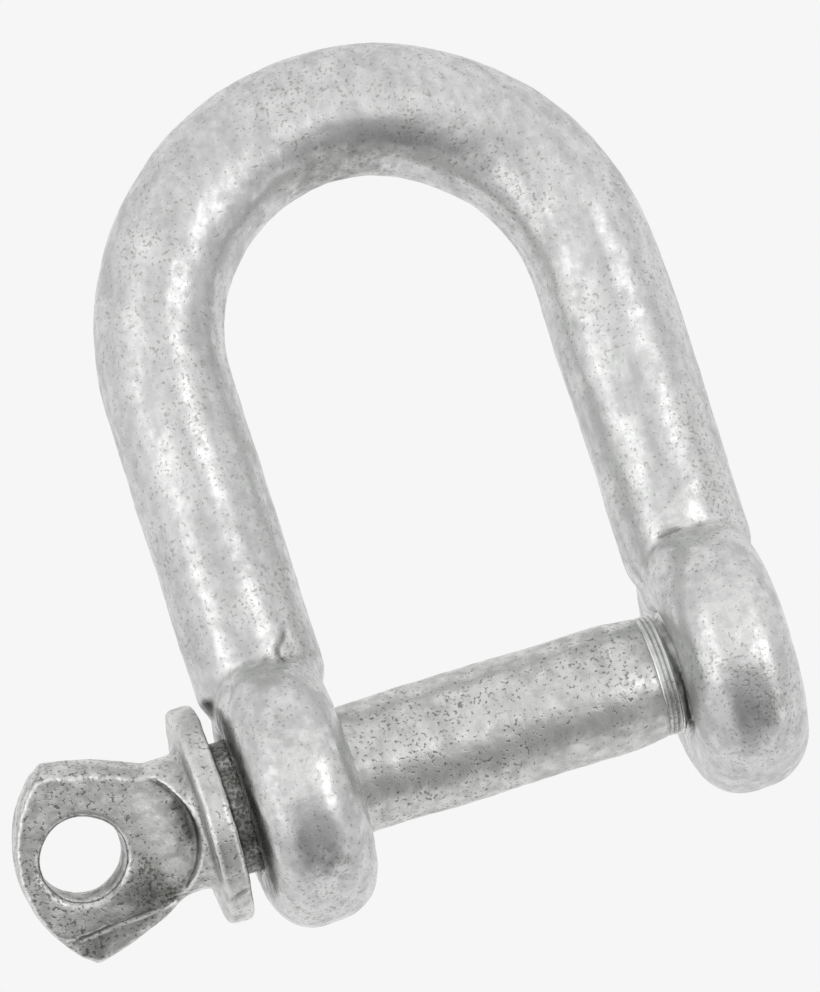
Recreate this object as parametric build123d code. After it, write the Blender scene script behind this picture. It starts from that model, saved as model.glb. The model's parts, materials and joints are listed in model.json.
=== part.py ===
from build123d import *
import math
import os

os.makedirs("parts", exist_ok=True)

# Screw-pin shackle, lying flat. X runs along the pin from its head to its thread,
# Y from the pin towards the crown, Z out of the plane of the bow.
# The origin is on the pin's axis, half way between the two eyes. Millimetres.

# ---- driving dimensions of the bow ----
bar_dia = 10.4              # round bar of the legs and crown
jaw = 26.4                  # gap between the inner faces of the eyes
inside_length = 44.4        # pin axis to the inside of the crown
eye_dia = 22.0              # forged eye, over its rounded rim
eye_thickness = 8.8
eye_rim_radius = 4.0        # rounding of the rim's two edges
root_fillet = 1.2           # where an eye runs into its leg
leg_taper = 4.5             # length over which the bar narrows to the eye's thickness
plain_hole_clearance = 0.25  # between the pin and the plain hole, all round
hole_edge = 0.4             # chamfer at the mouths of both holes

# ---- driving dimensions of the pin ----
shank_dia = 10.1            # across the jaw
bearing_growth = 0.4        # the stretch in the plain eye is this much thicker
bearing_step = 0.6          # length of the slope between the two
thread_drop = 0.4           # the thread's crests are this much thinner than the shank
thread_depth = 0.9
thread_pitch = 1.5
thread_clearance = 0.2      # between the pin's thread and the tapped hole, all round
thread_recess = 0.6         # the thread's end lies this far inside the far face when tight
thread_end_chamfer = 0.8
run_out_depth = 0.6         # plain groove between shank and thread, below the crests
run_out_length = 0.9
shoulder_back = 1.5         # end of the shank to the tapped eye, as stored
taper_length = 2.9          # the shank narrows a little before its end
taper_drop = 0.3
collar_width = 3.35         # how far the collar stands out past the bearing stretch
collar_thickness = 2.1
collar_rounding = 0.9
backed_out = 1.2            # gap between the collar and the plain eye, as stored

# ---- driving dimensions of the head ----
neck_dia = 10.8
plate_thickness = 5.0
plate_draft = 22.0          # forging draft of the plate's rim, degrees each side
plate_half_height = 8.2     # from the pin's axis to each pointed corner
corner_to_collar = 10.7     # pointed corners to the collar
eye_to_collar = 9.3         # centre of the head's eye to the collar
head_eye_dia = 6.6
eye_to_far_end = 5.4        # centre of the head's eye to the plate's far end
head_eye_edge = 0.3         # chamfer at the mouths of the head's eye
coin_radius = 6.0           # rounded end of the pressed flat, next to the collar
coin_gap = 0.5              # metal left between that flat and the collar
head_turn = 15.0            # how far the pin is turned about its own axis, degrees
waist_along = 0.35          # the plate's waist, as a share of the way from collar to corners
waist_rise = 0.3            # share of its widening that the plate has reached at the waist
shoulder_rise = 0.75        # the same, half way from the waist to the corners
neck_inset = 0.6            # the plate's outline starts this far inside the round neck

# ---- core: a stand-in that slides along the axis without turning ----
core_dia = 3.0
core_clearance = 0.1
core_start_inset = 1.0      # from the collar's face on the head's side
core_end_inset = 3.0        # from the tip of the thread

overlap = 0.2               # how far solids that are joined run into each other

# ---- places and sizes that follow ----
leg_x = jaw / 2 + eye_thickness / 2
crown_y = inside_length - (leg_x - bar_dia / 2)
rim_radius = min(eye_rim_radius, 0.47 * eye_thickness)
neck_y = eye_dia / 2 + root_fillet
bar_start_y = neck_y + leg_taper
eye_inner_x = jaw / 2
eye_outer_x = jaw / 2 + eye_thickness
bearing_dia = shank_dia + bearing_growth
plain_hole_dia = bearing_dia + 2 * plain_hole_clearance
thread_dia = shank_dia - thread_drop
tapped_dia = thread_dia + 2 * thread_clearance
run_out_dia = thread_dia - 2 * run_out_depth
collar_dia = bearing_dia + 2 * collar_width
collar_right_x = -eye_outer_x - backed_out
collar_left_x = collar_right_x - collar_thickness
bearing_end_x = -eye_inner_x - hole_edge
shank_end_x = eye_inner_x - shoulder_back
thread_start_x = shank_end_x + run_out_length
thread_end_x = eye_outer_x - thread_recess - backed_out
head_eye_x = collar_left_x - eye_to_collar
core_start = collar_left_x + core_start_inset
core_end = thread_end_x - core_end_inset


def along_x(radius, start, end):
    """A round bar on the pin's axis, from start to end."""
    bar = Solid.make_cylinder(radius, end - start, Plane(origin=(start, 0, 0), z_dir=(1, 0, 0)))
    return Part() + bar


def turned(profile):
    """A solid of revolution about X from points (x, radius)."""
    with BuildPart() as made:
        with BuildSketch(Plane.XY):
            with BuildLine():
                Polyline([(profile[0][0], 0), *profile, (profile[-1][0], 0)], close=True)
            make_face()
        revolve(axis=Axis.X)
    return made.part


def thread_body(crest_dia, start, end):
    """A right-hand rounded thread: a round section off the axis by half the thread's
    depth, carried along X while it turns once in each pitch."""
    offset = thread_depth / 2
    radius = crest_dia / 2 - offset
    phase = 2 * math.pi * start / thread_pitch
    section_plane = Plane(origin=(start, 0, 0), x_dir=(0, 1, 0), z_dir=(1, 0, 0))
    centre = section_plane.from_local_coords((offset * math.cos(phase), offset * math.sin(phase), 0))
    section = Wire.make_circle(radius, Plane(origin=centre, x_dir=(0, 1, 0), z_dir=(1, 0, 0)))
    length = end - start
    solid = Solid.extrude_linear_with_rotation(
        section, (start, 0, 0), (length, 0, 0), 360 * length / thread_pitch
    )
    return Part() + Solid(solid.shells()[0])


def eye_blank():
    """A forged eye round the pin's axis and the start of its leg, with a rounded rim."""
    side = Plane(origin=(-eye_thickness / 2, 0, 0), x_dir=(0, 1, 0), z_dir=(1, 0, 0))
    with BuildPart() as made:
        with BuildSketch(side) as outline:
            Circle(eye_dia / 2)
            with Locations((neck_y / 2, 0)):
                Rectangle(neck_y, bar_dia)
            corners = [v for v in outline.vertices() if eye_dia / 4 < v.Y < eye_dia / 2]
            fillet(corners, root_fillet)
        extrude(amount=eye_thickness)
        rims = [
            edge
            for edge in made.edges().filter_by_position(Axis.Y, -eye_dia, neck_y - 0.01)
            if abs(abs(edge.center().X) - eye_thickness / 2) < 0.01
        ]
        fillet(rims, rim_radius)
    return made.part


def leg_start():
    """The bar changes from the eye's thickness to a full round over this stretch."""
    with BuildPart() as made:
        for y in (neck_y, bar_start_y):
            with BuildSketch(Plane(origin=(0, y, 0), x_dir=(1, 0, 0), z_dir=(0, 1, 0))):
                if y == neck_y:
                    RectangleRounded(eye_thickness, bar_dia, rim_radius)
                else:
                    Circle(bar_dia / 2)
        loft()
    return made.part


def make_bow():
    with BuildPart() as made:
        with BuildLine(Plane.XY) as path:
            Line((-leg_x, bar_start_y), (-leg_x, crown_y))
            ThreePointArc((-leg_x, crown_y), (0, crown_y + leg_x), (leg_x, crown_y))
            Line((leg_x, crown_y), (leg_x, bar_start_y))
        with BuildSketch(Plane(origin=(-leg_x, bar_start_y, 0), z_dir=(0, 1, 0))):
            Circle(bar_dia / 2)
        sweep(path=path.line)
    bow = made.part
    for x in (-leg_x, leg_x):
        bow = bow + Pos(x, 0, 0) * leg_start() + Pos(x, 0, 0) * eye_blank()
    # plain hole on the head's side, with eased mouths
    bow = bow - along_x(plain_hole_dia / 2, -eye_outer_x - 1, -eye_inner_x + 1)
    wide = plain_hole_dia / 2 + hole_edge
    bow = bow - mouth(-eye_outer_x, wide, 1) - mouth(-eye_inner_x, wide, -1)
    # tapped hole on the thread's side, with countersunk mouths
    bow = bow - thread_body(tapped_dia, eye_inner_x - thread_pitch, eye_outer_x + thread_pitch)
    sink = tapped_dia / 2 + hole_edge
    return bow - mouth(eye_inner_x, sink, 1) - mouth(eye_outer_x, sink, -1)


def mouth(x, radius, inwards):
    """A 45 degree countersink, as wide as radius on the face at x."""
    deep = radius / 2
    return turned(sorted([(x - inwards * overlap, radius + overlap), (x + inwards * deep, radius - deep)]))


def make_head():
    """The head: a round neck pressed into a flat plate with an eye, lying in the XY plane."""
    corner_x = collar_left_x - corner_to_collar
    waist_x = collar_left_x - waist_along * corner_to_collar
    shoulder_x = (corner_x + waist_x) / 2
    widening = plate_half_height - neck_dia / 2
    waist = neck_dia / 2 + waist_rise * widening
    shoulder = neck_dia / 2 + shoulder_rise * widening
    start_x = collar_left_x + overlap
    start = neck_dia / 2 - neck_inset
    far_x = head_eye_x - eye_to_far_end
    with BuildPart() as made:
        with BuildSketch(Plane.XY) as outline:
            with BuildLine():
                ThreePointArc((corner_x, -plate_half_height), (far_x, 0), (corner_x, plate_half_height))
                Polyline(
                    (corner_x, plate_half_height),
                    (shoulder_x, shoulder),
                    (waist_x, waist),
                    (start_x, start),
                    (start_x, -start),
                    (waist_x, -waist),
                    (shoulder_x, -shoulder),
                    (corner_x, -plate_half_height),
                )
            make_face()
        extrude(amount=plate_thickness / 2, taper=plate_draft)
        extrude(outline.sketch, amount=-plate_thickness / 2, taper=plate_draft)
    plate = made.part
    # round neck with its two sides pressed flat up to a curved edge
    coin_x = collar_left_x - coin_gap - coin_radius
    neck = along_x(neck_dia / 2, coin_x, start_x)
    for side in (1, -1):
        base = Plane(origin=(coin_x, 0, side * plate_thickness / 2), z_dir=(0, 0, side))
        neck = neck - (Part() + Solid.make_cylinder(coin_radius, neck_dia, base))
    head = plate + neck
    below = Plane(origin=(head_eye_x, 0, -plate_thickness))
    head = head - (Part() + Solid.make_cylinder(head_eye_dia / 2, 2 * plate_thickness, below))
    rim = head_eye_dia / 2 + head_eye_edge
    deep = 2 * head_eye_edge
    for side in (1, -1):
        base = Plane(origin=(head_eye_x, 0, side * (plate_thickness / 2 - deep)), z_dir=(0, 0, side))
        head = head - (Part() + Solid.make_cone(rim - deep, rim + deep, 2 * deep, base))
    return head.rotate(Axis.X, head_turn)


def make_pin():
    with BuildPart() as made:
        with BuildSketch(Plane.XY):
            with BuildLine():
                Polyline(
                    (collar_left_x, 0),
                    (collar_left_x, collar_dia / 2),
                    (collar_right_x, collar_dia / 2),
                    (collar_right_x, bearing_dia / 2),
                    (bearing_end_x, bearing_dia / 2),
                    (bearing_end_x + bearing_step, shank_dia / 2),
                    (shank_end_x - taper_length, shank_dia / 2),
                    (shank_end_x - taper_drop, shank_dia / 2 - taper_drop),
                    (shank_end_x, run_out_dia / 2),
                    (thread_start_x, run_out_dia / 2),
                    (thread_start_x, 0),
                    close=True,
                )
            make_face()
        revolve(axis=Axis.X)
        rims = made.edges().filter_by(GeomType.CIRCLE).group_by(SortBy.RADIUS)[-1]
        fillet(rims, collar_rounding)
    # the thread is trimmed by cones alone: they start inside the groove and end wider than its crests
    thread = thread_body(thread_dia, thread_start_x - thread_pitch, thread_end_x + thread_pitch)
    low = run_out_dia / 2 - overlap
    high = thread_dia / 2 + overlap
    tip = thread_dia / 2 - thread_end_chamfer
    trim = turned(
        [
            (thread_start_x - overlap, low - overlap),
            (thread_start_x + high - low, high),
            (thread_end_x - high + tip, high),
            (thread_end_x, tip),
        ]
    )
    pin = made.part + (thread & trim) + make_head()
    hollow = along_x(core_dia / 2 + core_clearance, core_start - core_clearance, core_end + core_clearance)
    return pin - hollow


nodes = {
    "bow": make_bow,
    "screw_pin": make_pin,
    "pin_core": lambda: along_x(core_dia / 2, core_start, core_end),
}
for name, make in nodes.items():
    shape = make()
    shape.label = name
    export_step(shape, f"parts/{name}.step")
    print(name, round(shape.volume, 1), "mm3")
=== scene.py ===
import json
import math

import bmesh
import bpy
from mathutils import Matrix, Vector, noise


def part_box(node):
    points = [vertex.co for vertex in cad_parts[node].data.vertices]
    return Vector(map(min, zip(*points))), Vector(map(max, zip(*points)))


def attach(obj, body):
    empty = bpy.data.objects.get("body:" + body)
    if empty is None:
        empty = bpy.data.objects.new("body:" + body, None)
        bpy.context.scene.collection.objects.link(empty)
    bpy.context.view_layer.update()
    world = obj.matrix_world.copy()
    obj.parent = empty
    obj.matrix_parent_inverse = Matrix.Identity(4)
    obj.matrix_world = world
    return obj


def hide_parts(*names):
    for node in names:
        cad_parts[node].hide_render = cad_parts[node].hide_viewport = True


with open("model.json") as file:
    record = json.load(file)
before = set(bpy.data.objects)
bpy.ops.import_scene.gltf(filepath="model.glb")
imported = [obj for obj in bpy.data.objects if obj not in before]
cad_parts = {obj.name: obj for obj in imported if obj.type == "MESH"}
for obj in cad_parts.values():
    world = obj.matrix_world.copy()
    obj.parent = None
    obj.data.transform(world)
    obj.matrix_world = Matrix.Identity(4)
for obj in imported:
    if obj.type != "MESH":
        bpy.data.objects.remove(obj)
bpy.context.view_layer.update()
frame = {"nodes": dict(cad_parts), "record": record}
scene = bpy.context.scene
scene.view_settings.view_transform = "Standard"
mounts = {mount["name"]: mount for mount in frame["record"]["mounts"]}
toMetres = 0.001  # shapes are modelled in millimetres and scaled once at the end


def boxMm(node):
    low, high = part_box(node)
    return low / toMetres, high / toMetres


def extrudeLoop(bm, edges, shift, stretch=(1, 1, 1), about=(0, 0, 0)):
    made = bmesh.ops.extrude_edge_only(bm, edges=edges)["geom"]
    verts = [g for g in made if isinstance(g, bmesh.types.BMVert)]
    bmesh.ops.translate(bm, verts=verts, vec=shift)
    if tuple(stretch) != (1, 1, 1):
        space = Matrix.Translation(-Vector(about))
        bmesh.ops.scale(bm, verts=verts, vec=stretch, space=space)
    return [g for g in made if isinstance(g, bmesh.types.BMEdge)]


def arc(centre, radius, start, end, steps):
    turn = math.radians(end - start) / steps
    return [
        (
            centre[0] + radius * math.cos(math.radians(start) + turn * n),
            centre[1] + radius * math.sin(math.radians(start) + turn * n),
        )
        for n in range(steps + 1)
    ]


def lathe(outline, closed, steps=96):
    # turns (x, radius) points about the pin's axis
    bm = bmesh.new()
    verts = [bm.verts.new((x, radius, 0)) for x, radius in outline]
    pairs = list(zip(verts, verts[1:]))
    if closed:
        pairs.append((verts[-1], verts[0]))
    edges = [bm.edges.new(pair) for pair in pairs]
    bmesh.ops.spin(bm, geom=verts + edges, cent=(0, 0, 0), axis=(1, 0, 0), dvec=(0, 0, 0),
                   angle=math.tau, steps=steps, use_merge=True)
    bmesh.ops.remove_doubles(bm, verts=bm.verts, dist=0.001)
    bmesh.ops.recalc_face_normals(bm, faces=bm.faces)
    return bm


def threadRod(crest, depth, pitch, start, end, lead=0.0, steps=24):
    # a round section off the axis, carried along it with one turn for each pitch
    offset = depth / 2
    radius = crest - offset
    bm = bmesh.new()
    phase = math.tau * start / pitch
    place = Matrix.Translation((start, offset * math.cos(phase), offset * math.sin(phase)))
    bmesh.ops.create_circle(bm, radius=radius, segments=64, cap_ends=False,
                            matrix=place @ Matrix.Rotation(math.pi / 2, 4, "Y"))
    edges = list(bm.edges)
    bmesh.ops.contextual_create(bm, geom=edges)
    turnSteps = round((end - start) / pitch * steps)
    step = (end - start) / turnSteps
    for n in range(turnSteps):
        edges = extrudeLoop(bm, edges, (step, 0, 0))
        verts = list({v for e in edges for v in e.verts})
        bmesh.ops.rotate(bm, verts=verts, cent=(0, 0, 0),
                         matrix=Matrix.Rotation(math.tau * step / pitch, 3, "X"))
        left = end - start - (n + 1) * step
        if left < lead:
            shrink = 1 - step / (crest + left)
            bmesh.ops.scale(bm, verts=verts, vec=(1, shrink, shrink))
    bmesh.ops.contextual_create(bm, geom=edges)
    bmesh.ops.recalc_face_normals(bm, faces=bm.faces)
    return bm


def asObject(bm, name):
    mesh = bpy.data.meshes.new(name)
    bm.to_mesh(mesh)
    bm.free()
    piece = bpy.data.objects.new(name, mesh)
    scene.collection.objects.link(piece)
    return piece


def applied(piece):
    # bakes the piece's modifiers into its mesh
    made = bpy.data.meshes.new_from_object(piece.evaluated_get(bpy.context.evaluated_depsgraph_get()))
    piece.modifiers.clear()
    old = piece.data
    piece.data = made
    bpy.data.meshes.remove(old)
    return piece


def cutWith(piece, tool):
    cut = piece.modifiers.new("cut", "BOOLEAN")
    cut.operation = "DIFFERENCE"
    cut.solver = "EXACT"
    cut.object = tool
    applied(piece)
    bpy.data.objects.remove(tool)


def forge(pieces, name, voxel):
    # melts overlapping solids into one skin
    bm = bmesh.new()
    for piece in pieces:
        bm.from_mesh(piece.data)
        bpy.data.objects.remove(piece)
    whole = asObject(bm, name)
    melt = whole.modifiers.new("melt", "REMESH")
    melt.mode = "VOXEL"
    melt.voxel_size = voxel
    return applied(whole)


def rippled(point, grain, seed):
    return noise.noise(Vector(point) / grain + Vector((seed, 0.37 * seed, 1.9 * seed)))


def markRelief(bm):
    # stores how far each point stands proud (over 0.5) or lies in a hollow (under 0.5)
    relief = bm.verts.layers.float.new("relief")
    for vert in bm.verts:
        ring = [(edge.other_vert(vert).co - vert.co).normalized() for edge in vert.link_edges]
        bend = -sum(side.dot(vert.normal) for side in ring) / max(len(ring), 1)
        vert[relief] = 0.5 + 2.0 * bend
    for n in range(2):    # evened out with the neighbours
        around = []
        for vert in bm.verts:
            ring = [edge.other_vert(vert)[relief] for edge in vert.link_edges]
            around.append(sum(ring) / max(len(ring), 1))
        for vert, value in zip(bm.verts, around):
            vert[relief] = 0.4 * vert[relief] + 0.6 * value


def paintStainsAndShade(bm, spots):
    # stores how dark (over 0) or how pale (under 0) each place is coloured: dark for dirt, painted shade
    # and painted dark reflections, pale for flaked scale and painted highlights
    grime = bm.verts.layers.float.new("grime")
    for vert in bm.verts:
        for spot in spots:
            near = 1 - (vert.co - Vector(spot["at"])).length / spot["reach"]
            if near > 0:
                vert[grime] += spot["amount"] * near * near * (3 - 2 * near)
        vert[grime] = min(max(vert[grime], -1.0), 1.0)


def scored(point, scores):
    # how deep the creases and folds lie at a point
    sink = 0.0
    for score in scores:
        offset = point - Vector(score["at"])
        offset.z *= 0.3    # a score reaches down through the skin
        along = Vector((score["along"][0], score["along"][1], 0)).normalized()
        run = offset.dot(along)
        across = (offset - along * run).length
        if abs(run) < score["length"] * 1.3 and across < 4:    # it has faded out beyond this
            across += score["width"] * rippled(point, 1.6, 11)
            fade = -(run / score["length"]) ** 4 - (across / score["width"]) ** 2
            sink += score["depth"] * math.exp(fade)
    return sink


def finished(piece, shape, body, lengthwise=None, standsFor=True):
    # smooths, weathers and scales a forging, and ties it to the frame
    bm = bmesh.new()
    bm.from_mesh(piece.data)
    for n in range(shape["smoothing"]):
        bmesh.ops.smooth_vert(bm, verts=bm.verts, factor=0.5,
                              use_axis_x=True, use_axis_y=True, use_axis_z=True)
    bm.normal_update()
    shifts = []
    for vert in bm.verts:
        lift = -scored(vert.co, shape["scores"])
        if lengthwise:
            lift += lengthwise(vert.co)
        for seed, (grain, height) in enumerate(shape["ripples"], 3):
            lift += height * rippled(vert.co, grain, seed)
        shifts.append(vert.normal * lift)
    for vert, shift in zip(bm.verts, shifts):
        vert.co += shift
    bm.normal_update()
    markRelief(bm)
    paintStainsAndShade(bm, shape["stains"])
    bmesh.ops.scale(bm, verts=bm.verts, vec=(toMetres,) * 3)
    bm.to_mesh(piece.data)
    bm.free()
    for face in piece.data.polygons:
        face.use_smooth = True
    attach(piece, body)
    if standsFor:
        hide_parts(body)
    triangles = sum(len(face.vertices) - 2 for face in piece.data.polygons)
    print(piece.name, "is forged:", triangles, "triangles")
    return piece


bowLow, bowHigh = boxMm("bow")
jawPinRadius = mounts["jaw_pin"]["dims"]["r_mm"]

bowShape = {
    "barRadius": 5.14,
    "eyeHalf": 4.32,       # half the eye's thickness
    "rimRadius": 3.7,
    "plainHole": jawPinRadius + 0.45,
    "tappedCrest": jawPinRadius,
    "threadDepth": 0.9,
    "threadPitch": 1.5,
    "holeEdge": 0.4,
    "neckSqueeze": 0.99,   # the bar's width where it meets the eye, as a share of the round bar
    "rootDepth": 1.3,      # how far inside the eye's flat side the bar starts
    "sink": 2.6,           # over this much the bar thins to the eye's own thickness
    "taper": 6.0,          # how far the narrowing reaches up the leg
    "skinMargin": 0.18,    # the coat's lumps rise this far above the plain shape
    "ridge": 0.13,         # height of the faint ridges that run along the bar
    "ridgeLength": 15.0,
    "ridgeAround": 1.5,    # more of this makes more ridges side by side
    "ridgeFade": 5.0,      # they fade out over this much above the eye
    "underBore": 0.5,      # the tapped eye is bored this much under the tap's core
    "barSides": 64,
    "taperSteps": 12,
    "crownSteps": 72,
    "voxel": 0.285,
    "smoothing": 3,
    "ripples": [(9.0, 0.14), (3.2, 0.07), (1.3, 0.035), (0.55, 0.014)],  # grain and height
    "scores": [            # folds left by bending and pinching the eyes: middle, direction, half length
        {"at": (-15.4, 10.6, 4.6), "along": (1, 1.1), "length": 1.1, "width": 0.2, "depth": 0.2},
        {"at": (-15.5, 8.4, 5.2), "along": (0.3, -1), "length": 2.0, "width": 0.2, "depth": 0.16},
        {"at": (-20.6, 7.8, 6.0), "along": (0.5, 1), "length": 1.5, "width": 0.22, "depth": 0.2},
        {"at": (15.3, 9.9, 4.9), "along": (1, 0.05), "length": 1.4, "width": 0.2, "depth": 0.22},
        {"at": (13.9, 7.5, 6.2), "along": (0.15, 1), "length": 1.8, "width": 0.4, "depth": 0.12},
    ],
    "stains": [            # middle and reach in millimetres; over 0 darkens and adds pits, under 0 is paler
        # these two are painted shade round the eyes' holes, where the pin passes through
        {"at": (-22.8, 0, 0), "reach": 9.0, "amount": 1.4},
        {"at": (13.0, 0, 0), "reach": 8.0, "amount": 0.5},
        # a paler patch at the tapped eye's neck: painted highlight
        {"at": (17.4, 10.9, 5.2), "reach": 2.6, "amount": -0.7},
        # darker and more pitted along the crown's inside: pits with a painted dark reflection
        {"at": (0, 44.5, 0), "reach": 7.5, "amount": 0.55},
        # paler tops and darker fronts of both eyes: painted highlights and painted dark reflections
        {"at": (-16.8, 0.5, 10.8), "reach": 6.0, "amount": -0.4},
        {"at": (-17.2, -6.8, 9.0), "reach": 3.2, "amount": 0.4},
        {"at": (18.4, 1.5, 10.8), "reach": 6.0, "amount": -0.4},
        {"at": (17.8, -5.6, 9.4), "reach": 3.0, "amount": 0.35},
    ],
}


def eyeRing(x, hole, mouth):
    # hole and mouth are radii; the countersink between them slopes at 45 degrees
    shape = bowShape
    radius = -bowLow.y - shape["skinMargin"]
    half, rim, sunk = shape["eyeHalf"], shape["rimRadius"], mouth - hole
    outline = [(x - half, mouth)]
    outline += arc((x - half + rim, radius - rim), rim, 180, 90, 10)
    outline += arc((x + half - rim, radius - rim), rim, 90, 0, 10)
    outline += [(x + half, mouth), (x + half - sunk, hole), (x - half + sunk, hole)]
    return asObject(lathe(outline, closed=True), "eye")


def makeBow():
    shape = bowShape
    bar = shape["barRadius"]
    legX = bowHigh.x - shape["skinMargin"] - bar
    crownY = bowHigh.y - shape["skinMargin"] - bar - legX
    neckY = -bowLow.y - shape["rimRadius"] - shape["rootDepth"]
    squeeze = shape["neckSqueeze"]
    bm = bmesh.new()
    place = Matrix.Translation((-legX, neckY, 0)) @ Matrix.Rotation(math.pi / 2, 4, "X")
    bmesh.ops.create_circle(bm, radius=bar, segments=shape["barSides"], cap_ends=False, matrix=place)
    steps = shape["taperSteps"]
    ease = [3 * t * t - 2 * t ** 3 for t in (n / steps for n in range(steps + 1))]
    inEye = shape["eyeHalf"] / bar
    startY = neckY + shape["sink"]
    widths = [inEye + (squeeze - inEye) * t for t in ease]
    widths += [squeeze + (1 - squeeze) * t for t in ease[1:]]
    rises = [shape["sink"] / steps] * steps + [shape["taper"] / steps] * steps
    bmesh.ops.scale(bm, verts=bm.verts, vec=(inEye, 1, 1), space=Matrix.Translation((legX, 0, 0)))
    edges = list(bm.edges)
    bmesh.ops.contextual_create(bm, geom=edges)
    for old, new, rise in zip(widths, widths[1:], rises):
        edges = extrudeLoop(bm, edges, (0, rise, 0), (new / old, 1, 1), (-legX, 0, 0))
    edges = extrudeLoop(bm, edges, (0, crownY - startY - shape["taper"], 0))
    turned = bmesh.ops.spin(bm, geom=edges, cent=(0, crownY, 0), axis=(0, 0, 1), dvec=(0, 0, 0),
                            angle=-math.pi, steps=shape["crownSteps"])["geom_last"]
    edges = [g for g in turned if isinstance(g, bmesh.types.BMEdge)]
    edges = extrudeLoop(bm, edges, (0, startY + shape["taper"] - crownY, 0))
    for old, new, rise in zip(widths[::-1], widths[-2::-1], rises[::-1]):
        edges = extrudeLoop(bm, edges, (0, -rise, 0), (new / old, 1, 1), (legX, 0, 0))
    bmesh.ops.contextual_create(bm, geom=edges)
    bmesh.ops.recalc_face_normals(bm, faces=bm.faces)
    bent = asObject(bm, "bar")
    plain = eyeRing(-legX, shape["plainHole"], shape["plainHole"] + shape["holeEdge"])
    bored = shape["tappedCrest"] - shape["threadDepth"] - shape["underBore"]
    tapped = eyeRing(legX, bored, shape["tappedCrest"] + shape["holeEdge"])
    half, pitch = shape["eyeHalf"], shape["threadPitch"]
    tap = threadRod(shape["tappedCrest"], shape["threadDepth"], pitch,
                    legX - half - pitch, legX + half + pitch)
    cutWith(tapped, asObject(tap, "tap"))
    bow = forge([bent, plain, tapped], "bowForging", shape["voxel"])

    def ridges(point):
        # noise stretched along the bar's own line, faded out towards the eyes
        turn = math.atan2(point.y - crownY, -point.x)
        side = math.copysign(1, point.x)
        if point.y > crownY:
            along = legX * turn
            out = math.hypot(point.x, point.y - crownY) - legX
        else:
            along = (legX * math.pi + crownY - point.y) if side > 0 else point.y - crownY
            out = side * point.x - legX
        around = math.atan2(point.z, out)
        fade = min(max((point.y - neckY - 1) / shape["ridgeFade"], 0), 1)
        wide = shape["ridgeAround"]
        spot = Vector((wide * math.cos(around), wide * math.sin(around), along / shape["ridgeLength"]))
        return shape["ridge"] * fade * noise.noise(spot)

    return finished(bow, shape, "bow", ridges)


pinHigh = boxMm("screw_pin")[1]
eyeMount = mounts["head_eye"]

pinShape = {
    "bearing": jawPinRadius + 0.2,  # the stretch that fills the plain eye
    "bearingEnd": -13.6,
    "bearingSlope": 0.6,
    "neck": 5.35,
    "neckFillet": 0.9,
    "neckOverlap": 0.3,    # the neck starts this far inside the collar
    "collar": pinHigh.z - 0.05,
    "collarRight": -23.2,
    "collarThick": 2.1,
    "collarEdge": 0.5,
    "shankEnd": 11.7,
    "taper": 2.9,
    "taperDrop": 0.3,
    "taperStep": 0.1,      # length of the small step down at the taper's end
    "runOut": 4.25,
    "runOutLength": 0.9,
    "threadCrest": jawPinRadius - 0.2,
    "threadDepth": 0.9,
    "threadPitch": 1.5,
    "threadEnd": 20.2,
    "threadLead": 0.8,     # length of the chamfer at the thread's end
    "stemOverlap": 0.5,    # the stem ends this far inside the thread
    "plateHalf": 2.45,
    "wallInset": 0.3,      # the plate's wall leans in by this
    "wallRise": 1.5,       # by this height, then the bevel starts
    "bevelInset": 0.3,
    "topBevel": 0.35,      # added to the bevel's width along the top
    "topFrom": 3.6,        # which is whatever lies above this
    "bevelFrom": -5.6,     # and along the underside it starts level with this
    "farFrom": -36.0,
    "farShift": 0.27,      # at the far end the bevel is steeper by this
    "eyeEase": 0.3,
    "drillDepth": 16,
    "coinRadius": 6.0,     # radius of the curved edge of each pressed flat
    "coinDepth": 10,
    "coinSetback": 0.5,    # gap from the collar to the curved edge
    "voxel": 0.185,
    "smoothing": 1,
    "ripples": [(6.0, 0.10), (2.2, 0.05), (0.9, 0.03), (0.45, 0.014)],
    "scores": [            # trimmed flash on the collar, then the fold above the head's bevel
        {"at": (-24.2, 7.4, 4.5), "along": (1, -0.1), "length": 1.1, "width": 0.13, "depth": 0.12},
        {"at": (-24.2, -6.9, 5.2), "along": (1, 0.25), "length": 1.1, "width": 0.13, "depth": 0.13},
        {"at": (-35.4, -6.2, 0.9), "along": (1, 0.12), "length": 1.5, "width": 0.18, "depth": 0.34},
        {"at": (-31.6, -5.85, 0.85), "along": (1, 0.06), "length": 2.2, "width": 0.13, "depth": 0.2},
        {"at": (-28.0, -5.5, 0.95), "along": (1, 0.05), "length": 1.6, "width": 0.18, "depth": 0.34},
        {"at": (-35.9, 6.1, 3.9), "along": (1, -0.1), "length": 0.6, "width": 0.13, "depth": 0.14},
    ],
    "stains": [            # the head's darker zinc, its pitted corners, painted shade in the gap at the bow and on the eye's wall, pale flaked scale
        {"at": (-35.0, 0, 0), "reach": 17.0, "amount": 0.28},
        {"at": (-30.2, -4.6, 1.3), "reach": 4.6, "amount": 0.6},
        {"at": (-35.0, -6.5, 0.8), "reach": 4.0, "amount": 0.3},
        # these two are painted shade: in the gap at the bow, and on the eye's wall
        {"at": (-21.9, 0, 0), "reach": 7.6, "amount": 3.0},
        {"at": (-34.6, 0, 0), "reach": 4.15, "amount": 5.0},
        {"at": (-28.9, 1.8, 2.9), "reach": 2.3, "amount": -0.8},
        {"at": (-28.1, -0.3, 2.4), "reach": 2.3, "amount": -0.8},
        {"at": (-27.7, -2.6, 1.8), "reach": 2.3, "amount": -0.8},
    ],
}

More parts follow.
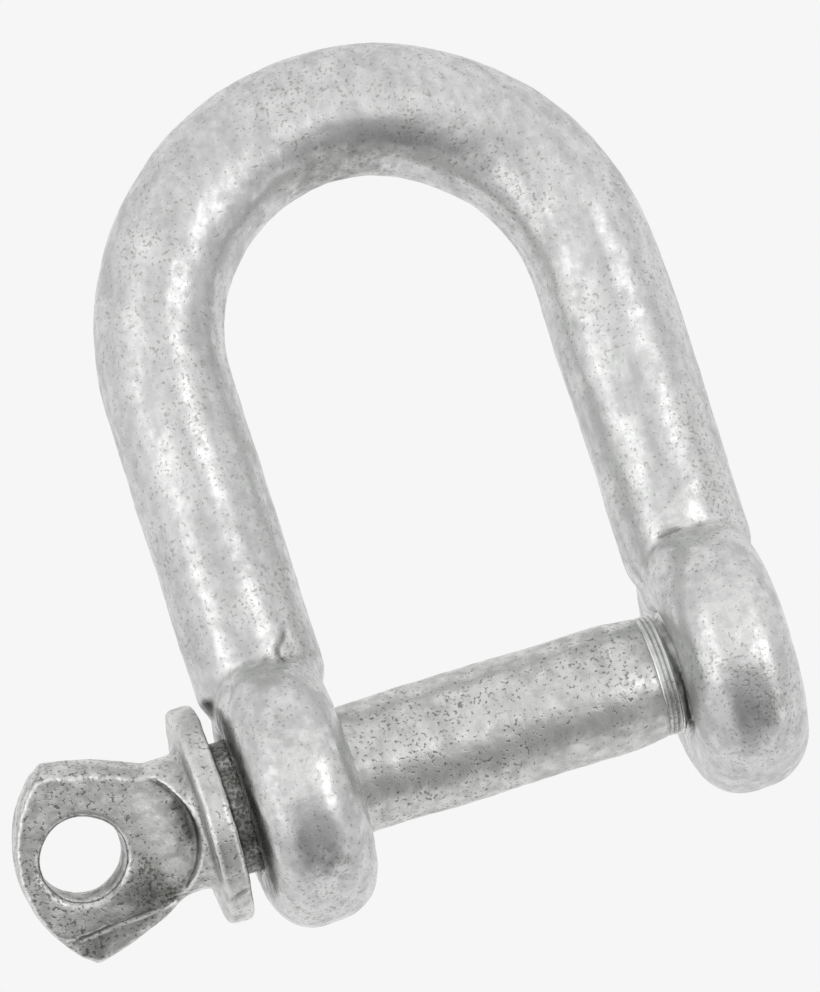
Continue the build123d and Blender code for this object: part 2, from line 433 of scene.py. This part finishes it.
# the plate's outline: one arc round the far end, from the upper corner to the lower one,
# then back along the underside and the top
plateFarSide = arc((-29.4, -0.35), 10.3, 127.4, 232.6, 14)
plateUnderside = [(-33.2, -7.9), (-29.6, -6.6), (-28.2, -5.7), (-25.1, -4.7)]
plateTop = [(-25.1, 4.5), (-28.4, 5.5), (-31.8, 6.85), (-33.6, 7.25)]


def makePlate():
    # two halves back to back: a steep wall from the parting line, then a bevel, wide along the underside
    shape = pinShape
    plate = bmesh.new()
    for side in (1, -1):
        bm = bmesh.new()
        rim = [bm.verts.new((x, y, 0)) for x, y in plateFarSide + plateUnderside + plateTop]
        face = bm.faces.new(rim)
        face.normal_update()
        for inset, rise in (
            (shape["wallInset"], shape["wallRise"]),
            (shape["bevelInset"], shape["plateHalf"]),
        ):
            bmesh.ops.inset_region(bm, faces=[face], thickness=inset,
                                   use_boundary=True, use_even_offset=True)
            bmesh.ops.translate(bm, verts=face.verts, vec=(0, 0, side * rise - face.verts[0].co.z))
            far = [vert for vert in face.verts if vert.co.x < shape["farFrom"]]
            bmesh.ops.translate(bm, verts=far, vec=(-shape["farShift"], 0, 0))
        for vert in face.verts:
            vert.co.y = max(vert.co.y, shape["bevelFrom"])
            if vert.co.x > shape["farFrom"] and vert.co.y > shape["topFrom"]:
                vert.co.y -= shape["topBevel"]
        half = bpy.data.meshes.new("half")
        bm.to_mesh(half)
        bm.free()
        plate.from_mesh(half)
        bpy.data.meshes.remove(half)
    bmesh.ops.remove_doubles(plate, verts=plate.verts, dist=0.001)
    bmesh.ops.recalc_face_normals(plate, faces=plate.faces)
    return asObject(plate, "plate")


def punchEye(piece):
    # the eye and its eased mouths
    radius = eyeMount["dims"]["r_mm"]
    ease = pinShape["eyeEase"]
    face = pinShape["plateHalf"]
    eyeAt = Vector(eyeMount["pos_m"]) / toMetres
    for bottom, top, depth, height in (
        (radius, radius, pinShape["drillDepth"], 0),
        (radius, radius + 2 * ease, 2 * ease, face),
        (radius + 2 * ease, radius, 2 * ease, -face),
    ):
        bm = bmesh.new()
        bmesh.ops.create_cone(bm, radius1=bottom, radius2=top, depth=depth, segments=72, cap_ends=True,
                              matrix=Matrix.Translation(eyeAt + Vector((0, 0, height))))
        cutWith(piece, asObject(bm, "drift"))


def makeNeck(left):
    # round bar with both sides pressed flat up to a curved edge
    shape = pinShape
    coin, deep = shape["coinRadius"], shape["coinDepth"]
    fillet = shape["neckFillet"]
    coinX = left - shape["coinSetback"] - coin
    inside = left + shape["neckOverlap"]
    outline = [(coinX, 0.0), (coinX, shape["neck"])]
    outline += arc((left - fillet, shape["neck"] + fillet), fillet, 270, 360, 6)
    outline += [(inside, shape["neck"] + fillet), (inside, 0.0)]
    neck = asObject(lathe(outline, closed=False), "neck")
    for side in (1, -1):
        bm = bmesh.new()
        place = Matrix.Translation((coinX, 0, side * (shape["plateHalf"] + deep / 2)))
        bmesh.ops.create_cone(bm, radius1=coin, radius2=coin, depth=deep,
                              segments=96, cap_ends=True, matrix=place)
        cutWith(neck, asObject(bm, "die"))
    return neck


def makePin():
    shape = pinShape
    left = shape["collarRight"] - shape["collarThick"]
    right = shape["collarRight"]
    edge = shape["collarEdge"]
    tall = shape["collar"]
    end = shape["shankEnd"]
    shank = jawPinRadius
    outline = [(left, 0.0), (left, shape["neck"])]
    outline += arc((left + edge, tall - edge), edge, 180, 90, 6)
    outline += arc((right - edge, tall - edge), edge, 90, 0, 6)
    threadStart = end + shape["runOutLength"]
    stemEnd = threadStart + shape["stemOverlap"]
    outline += [(right, shape["bearing"]), (shape["bearingEnd"], shape["bearing"]),
                (shape["bearingEnd"] + shape["bearingSlope"], shank), (end - shape["taper"], shank),
                (end - shape["taperStep"], shank - shape["taperDrop"]), (end, shape["runOut"]),
                (stemEnd, shape["runOut"]), (stemEnd, 0.0)]
    stem = asObject(lathe(outline, closed=False), "stem")
    thread = asObject(threadRod(shape["threadCrest"], shape["threadDepth"], shape["threadPitch"],
                                threadStart, shape["threadEnd"], lead=shape["threadLead"]), "thread")
    plate = makePlate()
    neck = makeNeck(left)
    punchEye(plate)
    punchEye(neck)
    axis = Vector(eyeMount["axis"])
    tilt = Matrix.Rotation(math.atan2(-axis.y, axis.z), 4, "X")
    for part in (plate, neck):
        part.data.transform(tilt)
    pin = forge([stem, thread, plate, neck], "pinForging", shape["voxel"])
    return finished(pin, shape, "screw_pin")


ringShape = {
    "count": 3,            # fine rings left by the die where the thread runs out
    "spacing": 0.37,
    "ridge": 0.08,
    "profile": [(0, 0), (0.14, 1), (0.24, 1), (0.36, 0)],  # along the pin, and share of the ridge
    "start": pinShape["shankEnd"] - 0.25,
    "margin": 0.15,        # plain stretch before the first ring
    "endMargin": 0.1,
    "inner": pinShape["runOut"] - 0.1,  # sunk into the run-out, so no gap shows
    "base": pinShape["runOut"] + 0.42,
    "smoothing": 0,
    "ripples": [(2.2, 0.03), (0.6, 0.02)],
    "scores": [],
    # darker on one side where the rings meet the tapped eye: painted shade
    "stains": [{"at": (12.4, -4.0, 2.5), "reach": 5.0, "amount": 0.5}],
}


def makeRings():
    shape = ringShape
    start = shape["start"]
    outline = [(start, shape["inner"]), (start, shape["base"])]
    for n in range(shape["count"]):
        x = start + shape["margin"] + n * shape["spacing"]
        outline += [(x + along, shape["base"] + share * shape["ridge"])
                    for along, share in shape["profile"]]
    outline += [(outline[-1][0] + shape["endMargin"], shape["inner"])]
    rings = asObject(lathe(outline, closed=True, steps=160), "runOutRings")
    return finished(rings, shape, "screw_pin", standsFor=False)


def toLinear(hexText):
    parts = [int(hexText[n:n + 2], 16) / 255 for n in (1, 3, 5)]
    return [c / 12.92 if c <= 0.04045 else ((c + 0.055) / 1.055) ** 2.4 for c in parts] + [1.0]


def addNode(tree, kind, settings=None, links=None, out=0):
    # settings are the node's own values or its inputs'; links are the sockets that feed it
    node = tree.nodes.new(kind)
    for name, value in (settings or {}).items():
        if isinstance(name, int) or name in node.inputs:
            node.inputs[name].default_value = value
        else:
            setattr(node, name, value)
    for name, source in (links or {}).items():
        tree.links.new(source, node.inputs[name])
    return node.outputs[out] if node.outputs else node


def perMetre(millimetres):
    return 1 / (millimetres * toMetres)


# hot-dip galvanised steel, dipped and spun: satin grey zinc with lengthwise runs,
# cloudy patches, fine pits and small lumps that break up the highlights
zincLook = {
    "light": "#DADBDA",
    "dark": "#BCBDBC",
    "pitColour": "#9A9A96",
    # dark for dirt and for painted shade in gaps and holes and painted dark reflections
    "grimeColour": "#434340",
    # pale for flaked scale and for painted highlights
    "bareColour": "#E9EAE8",
    # lighter on proud places: rubbed wear and painted highlight
    "edgeColour": "#EDEEED",
    # painted shade in the hollows
    "hollowColour": "#6E6F6C",
    "pitShade": "#C9C9C4",   # multiplies the colour inside a pit
    "cloudSize": 7.0,        # millimetres, and so are the other sizes
    "streakSize": 1.6,
    "lumpSize": 1.3,
    "mottleSize": 0.9,
    "grainSize": 0.36,
    "pitSize": 0.28,
    "streakSquash": 0.28,    # under 1 draws the streaks out along the legs
    "pitCover": 0.57,        # noise level above which the zinc is pitted: lower is more pits
    "pitEdge": 0.13,         # how gently a pit begins
    "pitShare": 0.6,
    "pitCrowding": 0.35,     # how far the clouds gather the pits
    "grimePits": 0.16,       # how far dirt and painted shade do
    "pitDepth": 0.010,       # millimetres, and so are the heights
    "lumpHeight": 0.028,
    "grainHeight": 0.012,
    "smoothest": 0.24,
    "roughest": 0.40,
    "bareGloss": 0.08,       # bare scale is smoother by this
    "cloudShare": 0.2,       # of each pattern in the mixing of the two greys
    "mottleShare": 0.35,
    "streakShare": 0.45,
    "greys": (0.36, 0.64),   # all light below the first, all dark above the second
    "brokenEdge": 0.7,       # how far the mottling breaks up the edges of the dirt, painted shade and pale patches
    # where each starts, where it is full, and its least and most
    "dirty": (0.5, 1.36, 0.0, 0.95),
    "bare": (0.22, -0.25, 0.0, 0.9),
    "flaky": (0.40, 0.54, 0.35, 1.0),
    "hollow": (0.46, 0.32, 0.0, 0.8),
    "proud": (0.60, 0.76, 0.0, 0.85),
}

# the pin's thinner zinc, dulled by handling: darker grey, rougher, more pitted
pinLook = dict(zincLook, light="#D8D9D7", dark="#B5B6B3", pitColour="#55554F", pitCover=0.575,
               pitShare=0.9, roughest=0.42, lumpSize=1.1, lumpHeight=0.03, pitDepth=0.014)


def galvanised(name, look):
    material = bpy.data.materials.new(name)
    material.use_nodes = True
    tree = material.node_tree
    tree.nodes.clear()
    where = addNode(tree, "ShaderNodeTexCoord", out="Object")
    relief = addNode(tree, "ShaderNodeAttribute", {"attribute_name": "relief"}, out="Fac")
    grime = addNode(tree, "ShaderNodeAttribute", {"attribute_name": "grime"}, out="Fac")
    runs = addNode(tree, "ShaderNodeMapping", {"Scale": (1, look["streakSquash"], 1)}, {"Vector": where})

    # the patterns, from large to small, with their detail and roughness
    patterns = {}
    for pattern, detail, rough, vector in (
        ("cloud", 4.0, 0.6, where),
        ("streak", 3.0, 0.6, runs),
        ("lump", 2.0, 0.5, where),
        ("mottle", 3.0, 0.6, where),
        ("grain", 2.0, 0.6, where),
        ("pit", 2.0, 0.5, where),
    ):
        settings = {"Scale": perMetre(look[pattern + "Size"]), "Detail": detail, "Roughness": rough}
        patterns[pattern] = addNode(tree, "ShaderNodeTexNoise", settings, {"Vector": vector})

    # pits crowd together where the clouds thin out and where dirt and painted shade are laid on
    crowding = look["pitCrowding"]
    cover = addNode(tree, "ShaderNodeMath", {"operation": "MULTIPLY_ADD", 1: -crowding, 2: crowding / 2},
                    {0: patterns["cloud"]})
    cover = addNode(tree, "ShaderNodeMath", {"operation": "MULTIPLY_ADD", 1: look["grimePits"]},
                    {0: grime, 2: cover})
    cover = addNode(tree, "ShaderNodeMath", {"operation": "ADD"}, {0: patterns["pit"], 1: cover})
    pits = addNode(tree, "ShaderNodeMapRange",
                   {"interpolation_type": "SMOOTHSTEP", "From Min": look["pitCover"],
                    "From Max": look["pitCover"] + look["pitEdge"], "To Max": look["pitShare"]},
                   {"Value": cover})

    # two greys of zinc, mixed by clouds, mottling and streaks
    tone = addNode(tree, "ShaderNodeMath", {"operation": "MULTIPLY_ADD", 1: look["cloudShare"], 2: 0.0},
                   {0: patterns["cloud"]})
    for pattern in ("mottle", "streak"):
        tone = addNode(tree, "ShaderNodeMath", {"operation": "MULTIPLY_ADD", 1: look[pattern + "Share"]},
                       {0: patterns[pattern], 2: tone})
    shade = addNode(tree, "ShaderNodeMapRange",
                    {"interpolation_type": "SMOOTHSTEP", "From Min": look["greys"][0],
                     "From Max": look["greys"][1]}, {"Value": tone})
    colour = addNode(tree, "ShaderNodeMixRGB",
                     {"Color1": toLinear(look["light"]), "Color2": toLinear(look["dark"])}, {"Fac": shade})

    # dirt and painted shade with a broken edge, pale flaky scale and painted highlight, painted shade in
    # the hollows, and places that stand proud made lighter by rubbed wear and painted highlight
    patchy = addNode(tree, "ShaderNodeMath", {"operation": "MULTIPLY_ADD", 1: look["brokenEdge"]},
                     {0: patterns["mottle"], 2: grime})
    masks = {}
    for mask, source in (
        ("dirty", patchy),
        ("bare", patchy),
        ("flaky", patterns["grain"]),
        ("hollow", relief),
        ("proud", relief),
    ):
        start, full, least, most = look[mask]
        settings = {"From Min": start, "From Max": full, "To Min": least, "To Max": most}
        masks[mask] = addNode(tree, "ShaderNodeMapRange", settings, {"Value": source})
    bare = addNode(tree, "ShaderNodeMath", {"operation": "MULTIPLY"}, {0: masks["bare"], 1: masks["flaky"]})
    # darkens for dirt and painted shade, pales for flaked scale and painted highlight
    for factor, coat in ((masks["dirty"], "grimeColour"), (bare, "bareColour")):
        colour = addNode(tree, "ShaderNodeMixRGB", {"Color2": toLinear(look[coat])},
                         {"Fac": factor, "Color1": colour})
    sunk = addNode(tree, "ShaderNodeMixRGB", {"Fac": 0.5, "Color2": toLinear(look["pitColour"])},
                   {"Color1": colour})
    sunk = addNode(tree, "ShaderNodeMixRGB",
                   {"blend_type": "MULTIPLY", "Fac": 1.0, "Color2": toLinear(look["pitShade"])},
                   {"Color1": sunk})
    colour = addNode(tree, "ShaderNodeMixRGB", links={"Fac": pits, "Color1": colour, "Color2": sunk})
    # painted shade in the hollows; proud places lighter for rubbed wear and painted highlight
    for factor, coat in ((masks["hollow"], "hollowColour"), (masks["proud"], "edgeColour")):
        colour = addNode(tree, "ShaderNodeMixRGB", {"Color2": toLinear(look[coat])},
                         {"Fac": factor, "Color1": colour})

    gloss = addNode(tree, "ShaderNodeMapRange",
                    {"From Min": 0.1, "From Max": 0.9, "To Min": look["smoothest"],
                     "To Max": look["roughest"]}, {"Value": shade})
    gloss = addNode(tree, "ShaderNodeMath", {"operation": "MULTIPLY_ADD", 1: -look["bareGloss"]},
                    {0: bare, 2: gloss})
    height = addNode(tree, "ShaderNodeMath", {"operation": "MULTIPLY", 1: look["lumpHeight"]},
                     {0: patterns["lump"]})
    for source, rise in ((patterns["grain"], look["grainHeight"]), (pits, -look["pitDepth"])):
        height = addNode(tree, "ShaderNodeMath", {"operation": "MULTIPLY_ADD", 1: rise},
                         {0: source, 2: height})
    bump = addNode(tree, "ShaderNodeBump", {"Strength": 1.0, "Distance": toMetres}, {"Height": height})
    shader = addNode(tree, "ShaderNodeBsdfPrincipled", {"Metallic": 1.0},
                     {"Base Color": colour, "Roughness": gloss, "Normal": bump})
    addNode(tree, "ShaderNodeOutputMaterial", links={"Surface": shader})
    return material


def dress(piece, material):
    piece.data.materials.clear()
    piece.data.materials.append(material)


bow = makeBow()
pin = makePin()
rings = makeRings()
dress(bow, galvanised("hotDipZinc", zincLook))
dress(pin, galvanised("handledZinc", pinLook))
dress(rings, pin.data.materials[0])
dress(frame["nodes"]["pin_core"], pin.data.materials[0])
print("the zinc is on")

# where the lens stands: turns in degrees, lengths in millimetres
cameraSettings = {
    "yaw": 7.3,
    "pitch": -6.5,
    "roll": 17.8,
    "distance": 500.0,
    "frameHeight": 76.9,   # height of the view at that distance
    "target": (0, 20, 0),
    "aside": (-1.55, -1.51),  # moves the camera to the right and up
}


def makeCamera():
    look = cameraSettings
    turn = Matrix.Identity(3)
    for angle, axis in (("roll", "Z"), ("pitch", "X"), ("yaw", "Y")):
        turn = turn @ Matrix.Rotation(math.radians(look[angle]), 3, axis)
    right, up, back = turn[0], turn[1], turn[2]
    lens = bpy.data.cameras.new("camera")
    lens.sensor_width = 36
    lens.lens = lens.sensor_width * look["distance"] / look["frameHeight"]
    lens.clip_start = 0.01
    lens.clip_end = 20
    camera = bpy.data.objects.new("camera", lens)
    scene.collection.objects.link(camera)
    place = Vector(look["target"]) + back * look["distance"]
    place = place + right * look["aside"][0] + up * look["aside"][1]
    pose = Matrix((right, up, back)).transposed().to_4x4()
    pose.translation = place * toMetres
    camera.matrix_world = pose
    scene.camera = camera
    return right, up, back


stageSettings = {
    "paper": "#F6F6F6",
    "floorSize": 3.0,      # metres from the middle to each edge
    "tentGlow": 0.98,      # brightness of the white tent all round
    # soft windows in a white tent: where each lies as seen from the lens (right, up, towards it),
    # how wide it is in degrees, from its full part to its faded edge, and what it adds
    "windows": [
        {"at": (-0.68, 0.09, 0.73), "full": 8, "edge": 27, "adds": 0.42},
        {"at": (0.57, 0.19, 0.80), "full": 7, "edge": 20, "adds": 0.9},
        {"at": (-0.68, -0.35, 0.64), "full": 6, "edge": 26, "adds": 0.4},
        {"at": (0.66, -0.10, 0.74), "full": 4, "edge": 17, "adds": 0.35},
        {"at": (0.28, -0.65, 0.71), "full": 14, "edge": 42, "adds": -0.54},
        {"at": (-0.30, -0.85, 0.42), "full": 15, "edge": 45, "adds": -0.28},
        {"at": (0.98, 0.05, 0.15), "full": 8, "edge": 32, "adds": -0.25},
    ],
}


def makeFloor():
    # a white sheet lit from behind, so nothing casts a shadow on it
    bm = bmesh.new()
    bmesh.ops.create_grid(bm, x_segments=1, y_segments=1, size=stageSettings["floorSize"])
    bmesh.ops.translate(bm, verts=bm.verts, vec=(0, 0, bowLow.z * toMetres))
    floor = asObject(bm, "floor")
    paper = bpy.data.materials.new("litPaper")
    paper.use_nodes = True
    tree = paper.node_tree
    tree.nodes.clear()
    glow = addNode(tree, "ShaderNodeEmission", {"Color": toLinear(stageSettings["paper"]), "Strength": 1.0})
    addNode(tree, "ShaderNodeOutputMaterial", links={"Surface": glow})
    dress(floor, paper)


def makeTent(right, up, back):
    world = bpy.data.worlds.new("tent")
    scene.world = world
    world.use_nodes = True
    tree = world.node_tree
    tree.nodes.clear()
    looking = addNode(tree, "ShaderNodeTexCoord", out="Generated")
    strength = None
    for window in stageSettings["windows"]:
        x, y, z = window["at"]
        towards = (right * x + up * y + back * z).normalized()
        near = addNode(tree, "ShaderNodeVectorMath", {"operation": "DOT_PRODUCT", 1: towards},
                       {0: looking}, "Value")
        glow = addNode(tree, "ShaderNodeMapRange",
                       {"interpolation_type": "SMOOTHSTEP",
                        "From Min": math.cos(math.radians(window["edge"])),
                        "From Max": math.cos(math.radians(window["full"])), "To Max": window["adds"]},
                       {"Value": near})
        sums = {0: glow, 1: strength} if strength else {0: glow}    # the first adds to the tent's glow
        strength = addNode(tree, "ShaderNodeMath", {"operation": "ADD", 1: stageSettings["tentGlow"]}, sums)
    sky = addNode(tree, "ShaderNodeBackground", {"Color": (1, 1, 1, 1)}, {"Strength": strength})
    addNode(tree, "ShaderNodeOutputWorld", links={"Surface": sky})


makeFloor()
makeTent(*makeCamera())
print("the stage is lit")
